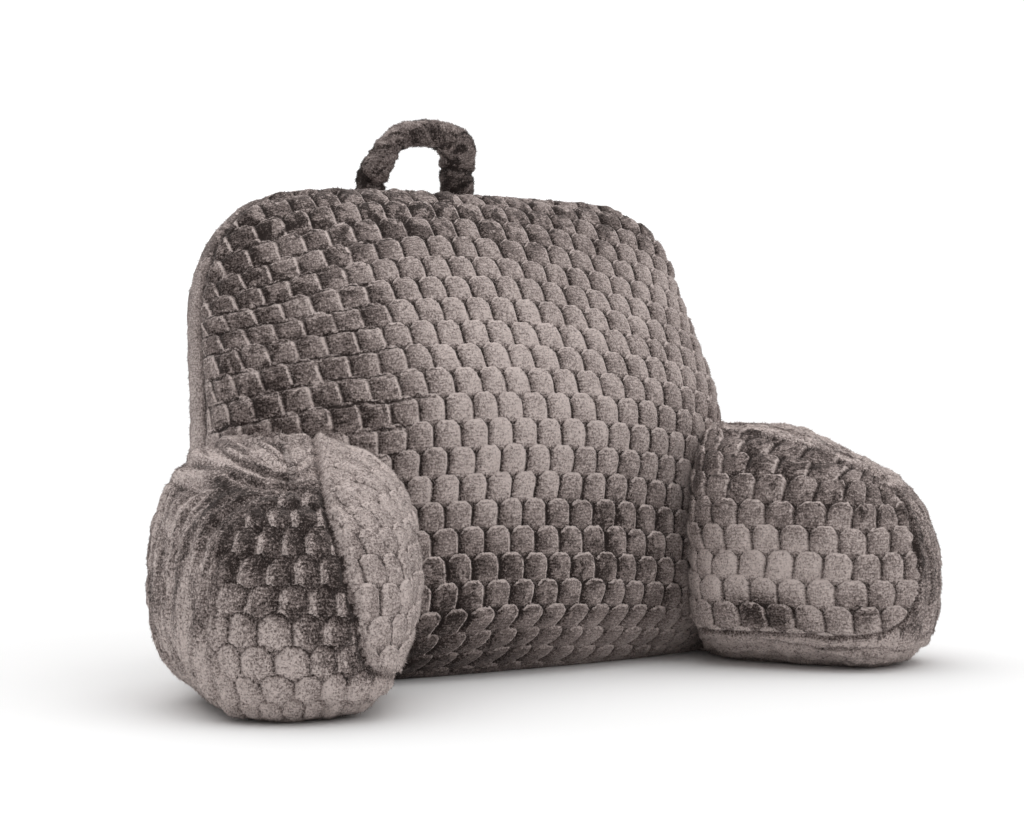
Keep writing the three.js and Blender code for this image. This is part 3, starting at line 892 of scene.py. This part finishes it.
def plush_material(name, sheen):
    material = bpy.data.materials.new(name)
    material.use_nodes = True
    tree = material.node_tree
    shader = set_inputs(tree, tree.nodes["Principled BSDF"], {
        "Roughness": 0.92, "Specular IOR Level": 0.12,
        "Sheen Weight": sheen, "Sheen Roughness": 0.55, "Sheen Tint": SHEEN_TINT,
    })
    coords = tree.nodes.new("ShaderNodeTexCoord").outputs["Object"]

    def attribute(key, output="Fac"):
        node = tree.nodes.new("ShaderNodeAttribute")
        node.attribute_name = key
        return node.outputs[output]

    def maths(operation, *values):
        node = add_node(tree, "Math", dict(enumerate(values)))
        node.operation = operation
        return node.outputs[0]

    def added(total, *values):
        for value in values:
            total = maths("ADD", total, value)
        return total

    def times(total, *values):
        for value in values:
            total = maths("MULTIPLY", total, value)
        return total

    def less(a, b):
        return maths("SUBTRACT", a, b)

    def rise(value, low, high, start=0.0, end=1.0):
        """start at low, end at high, smooth between."""
        node = add_node(tree, "MapRange", {
            "Value": value, "From Min": low, "From Max": high, "To Min": start, "To Max": end})
        node.interpolation_type = "SMOOTHSTEP"
        return node.outputs["Result"]

    def fade(value, low, high):
        return rise(value, low, high, 1.0, 0.0)

    def noise(scale, upright=1.0, detail=2.0, roughness=0.6, distortion=0.0):
        """Noise about 0, with its height stretched by 1 / upright."""
        mapped = add_node(tree, "Mapping", {"Vector": coords, "Scale": (1, 1, upright)})
        node = add_node(tree, "TexNoise", {
            "Vector": mapped.outputs["Vector"], "Scale": scale, "Detail": detail,
            "Roughness": roughness, "Distortion": distortion})
        return less(node.outputs["Fac"], 0.5)

    def bumped(height, distance, strength, under):
        inputs = {"Height": height, "Distance": distance, "Strength": strength, **under}
        return {"Normal": add_node(tree, "Bump", inputs).outputs["Normal"]}

    # The tile pattern again, from the same cloth coordinates as the mesh's relief, for
    # the lines that are finer than the mesh.
    flat, hang, worn, slump, tone, seam = (
        attribute(key) for key in ("flat", "hang", "worn", "slump", "tone", "seam"))
    cloth = add_node(tree, "SeparateXYZ", {0: attribute("cloth", "Vector")})
    ripples = noise(300, 1.7, 3.0, 0.62, 0.8)
    strands = noise(620, 0.7, 3.0, 0.7)
    fray = added(0.55, times(slump, 0.45))
    even_t = times(cloth.outputs[1], 1 / MM)
    s = added(times(cloth.outputs[0], 1 / MM), times(strands, 5.0, fray))
    t = added(even_t, times(ripples, 8.0, fray))
    half = TILE_WIDTH / 2

    def across(row):
        first = added(times(maths("MODULO", added(row, 100.0), 2.0), half), TILE_EVEN_GROOVE)
        place = maths("FRACT", added(times(less(s, first), 1 / TILE_WIDTH), 200.0))
        return times(less(place, 0.5), TILE_WIDTH)

    def top_edge(row):
        beyond = less(maths("ABSOLUTE", across(row)), TILE_TOP_FLAT)
        beyond = times(maths("MAXIMUM", beyond, 0.0), 1 / (half - TILE_TOP_FLAT))
        drop = times(maths("POWER", beyond, TILE_CHAMFER_POWER), TILE_CHAMFER)
        middle = added(times(added(row, 0.5), TILE_HEIGHT), TILE_FIRST_ROW + TILE_OVERLAP)
        return less(middle, drop)

    row = maths("FLOOR", added(times(less(t, TILE_FIRST_ROW), 1 / TILE_HEIGHT), 0.5))
    row = added(row, maths("GREATER_THAN", t, top_edge(row)))
    row = less(row, maths("LESS_THAN", t, top_edge(less(row, 1.0))))
    a = across(row)
    from_middle = maths("ABSOLUTE", a)
    to_side = less(half, from_middle)
    to_top = less(top_edge(row), t)
    to_bottom = less(t, top_edge(less(row, 1.0)))
    over_tip = less(t, added(times(less(row, 0.5), TILE_HEIGHT), TILE_FIRST_ROW - TILE_CHAMFER))

    # A tile's marks, each 1 where it is strongest: painted shade in its grooves, pits and top
    # corners, painted highlights along its top rim and right edge, and the pile's light outlines
    # and strips.
    line = fade(to_side, 0.1, 2.2)
    pit_shade = times(fade(over_tip, 3.0, 11.5), fade(from_middle, 3.5, 10.0))
    corner = times(fade(to_side, 1.0, 6.0), fade(to_top, 0.0, 5.5))
    rim_highlight = times(fade(to_top, 0.4, 3.2), rise(to_side, 1.0, 4.0))
    outline = fade(maths("MINIMUM", to_side, to_top), 0.6, 3.4)
    not_hung = less(1.0, hang)
    # A painted highlight along each tile's right edge, as if lit from the right.
    right_edge_highlight = times(rise(a, 9.0, 11.4), fade(a, 12.0, 13.4), not_hung)
    leaning = less(a, times(to_top, 0.10))
    thin = times(rise(leaning, 7.8, 9.6), fade(leaning, 10.6, 12.0), rise(noise(55), -0.14, 0.0))
    broad = times(rise(a, 4.5, 8.5), fade(a, 12.5, 14.0), hang, 0.55)
    strip = times(added(times(thin, not_hung), broad), rise(to_top, 1.0, 6.0))
    # Where the back has slumped, creases and ledges take the tiles' place: a painted shadow in
    # each crease, a painted highlight on each ledge.
    slumped_back = times(slump, not_hung)
    wavy = added(even_t, times(noise(70), 9.0), times(ripples, 7.0))
    in_row = times(less(wavy, TILE_FIRST_ROW - STEP_LEVEL), 1 / TILE_HEIGHT)
    in_row = maths("FRACT", added(in_row, 100.5))
    crease_shadow = times(slumped_back, rise(noise(24, 1.6), -0.08, 0.12), fade(in_row, 0.03, 0.18))
    # A painted highlight along each ledge.
    ledge = times(slumped_back, rise(in_row, 0.86, 0.95))
    plain = times(less(1.0, times(slump, added(0.50, times(hang, 0.25)))),
                  less(1.0, times(rise(worn, 0.4, 1.0), 0.68)))

    # Patches of the pile that lie another way, with crisp ragged edges.
    dark_lay = maths("MAXIMUM", times(tone, -1.0), 0.0)
    ragged = added(noise(34, 1.25, 4.0, 0.62, 1.2), times(ripples, 0.16))
    calm = maths("MAXIMUM", times(worn, 0.75), times(hang, 0.6))
    patch = times(less(rise(ragged, -0.03, 0.03), 0.5), less(1.0, calm))
    drift = noise(26, roughness=0.5)
    comb = added(times(even_t, TURN / COMB_PITCH), times(ripples, 14.0), times(drift, 30.0))
    lift = less(1.0, times(hang, 2.0))
    grain = added(1.28, times(worn, -0.35), times(hang, 0.50))

    def shaded(mask, amount, in_dark):
        """A mask's change of level, with in_dark more of it where the pile lies dark."""
        return times(mask, added(amount, times(dark_lay, in_dark)))

    level = added(
        times(tone, 0.62), 0.61,
        shaded(patch, 0.05, added(times(plain, 0.60), 0.20)),
        # Painted light from the right: each tile darker on its left side, lighter on its right,
        # with a painted highlight along its right edge.
        times(a, flat, 0.013), times(flat, right_edge_highlight, 0.20),
        times(flat, hang, shaded(outline, 0.0, 0.60)),
        # Painted shadow at the top of a hanging tile, under the lower end of the tile above.
        times(flat, hang, fade(to_top, 0.0, 2.6), -0.22),
        # Fine ripples of the pile, a painted shadow in each slumped crease, and a painted
        # highlight on each ledge.
        times(maths("SINE", comb), 0.095), times(crease_shadow, -0.80), times(ledge, 0.20),
        times(grain, added(times(ripples, 0.95), times(strands, 1.30))), times(drift, 0.25),
        times(flat, strip, added(times(dark_lay, 0.95), times(slump, 0.16))),
        # Painted shade in the grooves, pits and top corners, over the tiles' flanks and at their
        # lower ends, and a painted highlight along their top rims.
        times(flat, plain, added(
            shaded(line, -0.56, 0.45), shaded(pit_shade, -0.80, 0.6), shaded(corner, -0.22, 0.2),
            times(fade(to_side, 0.0, 6.5), -0.14),
            times(lift, shaded(fade(to_bottom, 0.0, 2.4), -0.18, -0.30)),
            times(lift, shaded(rim_highlight, 0.66, 0.30)))),
        # Painted shade from the seam attribute: along the seams, in the handle's folds and, on the
        # pile, in the tile grooves; below 0 it lightens the ruffled ridge.
        times(seam, -0.42),
    )
    colours = add_node(tree, "ValToRGB", {"Fac": level})
    stops = colours.color_ramp.elements
    stops[0].color, stops[1].color = DARK, LIGHT
    stops.new(0.48).color = MID
    edge = times(rise(to_side, 0.0, 3.0), rise(to_top, 0.0, 2.6, 0.35, 1.0))
    normal = bumped(times(flat, plain, edge), 0.0022, 0.5, {})
    normal = bumped(ripples, 0.0010, 0.55, normal)
    normal = bumped(strands, 0.0005, 0.5, normal)
    set_inputs(tree, shader, {"Base Color": colours.outputs["Color"], **normal})
    return material


def dress(piece, material, node=None):
    piece.data.materials.append(material)
    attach(piece, "root")
    if node:
        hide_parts(node)


# ---- build the pillow
TILE_TONE = 0.16          # how much the tone differs from tile to tile
BASE_RINGS = (0.15, 0.45, 0.75, 0.95)     # the flat base's rings, as shares of its depth
BASE_MIDDLE_Y = 20.0
HANDLE_SHOWS = 462.0      # the handle has pile from this height up
plush = plush_material("plush", 0.15)
pile_plush = plush_material("plush_pile", 0.1)
sources = []

grid, s, t, halves = back_grid()
to_seam = np.minimum(np.abs(s + halves[:, :1]), np.abs(s - halves[:, :1]))
held = ramp(14, 4, np.minimum(np.minimum(to_seam, t), t[-1:] - t))
grid = puffed(grid, held, FRONT_COLUMNS, grid[..., 0])
height, groove, seam, flat, slump, tile_tone, is_front, cloth = back_relief(grid, s, t, halves)
tone = back_tone(grid, s, t, is_front) + TILE_TONE * tile_tone
worn = np.maximum(0.85 * ramp(96, 62, t), 0.42 * ramp(205, 150, t))
shaped = raised(grid, height)
share = np.array(BASE_RINGS)[:, None]
rings = np.repeat(shaped[:1], len(share), 0) * (1, 1, 0)
rings[..., 1] = BASE_MIDDLE_Y + (rings[..., 1] - BASE_MIDDLE_Y) * share
rings[..., 0] *= 1 - 0.22 * (1 - share)
whole = np.concatenate([rings, shaped])


def with_base(values, fill=0.0):
    return np.concatenate([np.full((len(share), values.shape[1]), fill), values])


size = whole.shape[:2]
points = whole.reshape(-1, 3)
faces = [ring_quads(*size), close_ends(*size, FRONT_COLUMNS, points[:, 0])]
cloth = np.stack([with_base(cloth[..., 0]), with_base(cloth[..., 1])], -1).reshape(-1, 2)
values = {"tone": with_base(tone, -0.2), "seam": with_base(seam), "flat": with_base(flat),
          "slump": with_base(slump), "worn": with_base(worn)}
back = new_piece("back", points, faces, values, cloth)
dress(back, plush, "back_cushion")
sources.append(("back", "back_plush", dict(
    points=shaped, tone=tone, groove=groove, closed=True,
    keep=(t > 6) * np.where(is_front, 1.0, 0.55))))

for side, name, slot, node, root_rise, seed, seam_line in (
    (1, "right_arm", "arm_right_plush", "arm_right", 5.0, 101, RIGHT_ARM_SEAM),
    (-1, "left_arm", "arm_left_plush", "arm_left", 0.0, 151, LEFT_ARM_SEAM),
):
    base, run, offset, s, t = arm_grid(root_rise)
    held = np.maximum(ramp(14, 4, base[..., 2]), ramp(0, -30, run))
    base = puffed(base, held, ARM_INNER_COLUMNS, run)
    z = base[..., 2]
    relief = arm_relief(side, base, run, offset, s, t, seed, seam_line)
    height, groove, seam, flat, slack, tile_tone, is_inner, cloth = relief
    tone = arm_tone(side, s, t, z, is_inner) + TILE_TONE * tile_tone
    shaped, hidden = press_to_back(raised(base, height))
    # The left arm is the mirror image: its X and the order of its columns turn round.
    points = shaped * (side, 1, 1)
    ends = close_ends(*run.shape, ARM_INNER_COLUMNS, run.reshape(-1))
    faces = [ring_quads(*run.shape)[:, ::side], ends[:, ::side]]
    values = {"tone": tone, "seam": seam, "flat": flat, "slump": slack,
              "hang": np.where(is_inner, 0.0, 1.0),
              "worn": np.where(is_inner, 0.25, ramp(34, 24, z))}
    arm = new_piece(name, points.reshape(-1, 3), faces, values, cloth.reshape(-1, 2))
    weld(arm.data)
    dress(arm, plush, node)
    # The ridge beside the left arm's seam, where seam is below 0, has the thickest pile.
    keep = (~hidden & (z > 1.5)) * (1 + 6 * np.clip(-seam, 0, 1))
    sources.append((name, slot, dict(
        points=points[:, ::side], tone=tone[:, ::side], groove=groove[:, ::side],
        closed=False, keep=keep[:, ::side])))

points, s, t, tone, groove = handle_grid()
sources.append(("handle", "handle_plush", dict(
    points=points[:, ::-1], tone=tone[:, ::-1], groove=groove[:, ::-1], closed=True,
    keep=(points[..., 2] > HANDLE_SHOWS).astype(float))))
points = points.reshape(-1, 3)
faces = [ring_quads(HANDLE_ROWS, HANDLE_COLUMNS)[:, ::-1]]
for start, way in ((0, 1), ((HANDLE_ROWS - 1) * HANDLE_COLUMNS, -1)):
    end = cap(start, HANDLE_COLUMNS, HANDLE_COLUMNS // 2, way * points[:, 0])
    faces.append(end[:, ::way])
# The folds' painted shade goes into the seam attribute.
values = {"tone": tone, "seam": groove, "flat": tone * 0, "worn": tone * 0 + 0.5}
handle = new_piece("carry_handle", points, faces, values, np.stack([s, t], -1).reshape(-1, 2))
dress(handle, plush, "handle")

for seed, (name, slot, source) in enumerate(sources, 601):
    dress(add_pile(name + "_pile", source, PILE_TUFTS[name], seed), pile_plush)

# ---- floor, light, camera
AMBIENT_LOW = 0.36
AMBIENT_HIGH = 0.46
BACKDROP = 1.1
FLOOR_COLOUR = (0.87, 0.87, 0.87, 1)
bpy.ops.mesh.primitive_plane_add(size=400, location=(0, 0, -0.0002))
floor = bpy.context.object
floor.name = "floor"
floor_material = bpy.data.materials.new("pale_floor")
floor_material.use_nodes = True
tree = floor_material.node_tree
set_inputs(tree, tree.nodes["Principled BSDF"], {
    "Base Color": FLOOR_COLOUR, "Roughness": 1.0, "Specular IOR Level": 0.0})
floor.data.materials.append(floor_material)

# The surround is paler from above, and plain white where the camera sees it.
world = bpy.data.worlds.new("studio")
scene.world = world
world.use_nodes = True
tree = world.node_tree
way = tree.nodes.new("ShaderNodeTexCoord")
upward = add_node(tree, "SeparateXYZ", {0: way.outputs["Generated"]})
shade = add_node(tree, "MapRange", {
    "Value": upward.outputs["Z"], "To Min": AMBIENT_LOW, "To Max": AMBIENT_HIGH})
sky = set_inputs(tree, tree.nodes["Background"], {
    "Color": shade.outputs["Result"], "Strength": 1.0})
backdrop = add_node(tree, "Background", {"Color": (1, 1, 1, 1), "Strength": BACKDROP})
seen = tree.nodes.new("ShaderNodeLightPath")
either = add_node(tree, "MixShader", {
    0: seen.outputs["Is Camera Ray"], 1: sky.outputs[0], 2: backdrop.outputs[0]})
set_inputs(tree, tree.nodes["World Output"], {"Surface": either.outputs[0]})


def add_sun(name, strength, spread, direction):
    """A soft distant light that shines along a direction."""
    lamp = bpy.data.lights.new(name, "SUN")
    lamp.energy = strength
    lamp.angle = math.radians(spread)
    turned = Vector(direction).to_track_quat("-Z", "Y").to_euler()
    new_object(name, lamp).rotation_euler = turned


add_sun("key", 2.1, 80, (0.0, -0.32, -1.0))
add_sun("side", 0.70, 60, (-0.6, 0.9, -1.2))

CAMERA_AZIMUTH, CAMERA_ELEVATION = math.radians(-33.8), math.radians(1.93)
CAMERA_DISTANCE = 2654.88
CAMERA_LENS = 93.754
TARGET_RIGHT, TARGET_HEIGHT = 22.46, 256.2
level = math.cos(CAMERA_ELEVATION)
backwards = Vector((math.sin(CAMERA_AZIMUTH) * level, -math.cos(CAMERA_AZIMUTH) * level,
                    math.sin(CAMERA_ELEVATION)))
rightwards = Vector((math.cos(CAMERA_AZIMUTH), math.sin(CAMERA_AZIMUTH), 0))
target = Vector((0, TO_FRAME_Y, TARGET_HEIGHT)) + rightwards * TARGET_RIGHT
camera_data = bpy.data.cameras.new("camera")
camera_data.lens = CAMERA_LENS
camera_data.sensor_width = 36
camera_data.clip_end = 100
camera = new_object("camera", camera_data)
turn = Matrix((rightwards, backwards.cross(rightwards), backwards)).transposed().to_4x4()
camera.matrix_world = Matrix.Translation((target + backwards * CAMERA_DISTANCE) * MM) @ turn
scene.camera = camera
scene.view_settings.view_transform = "Standard"
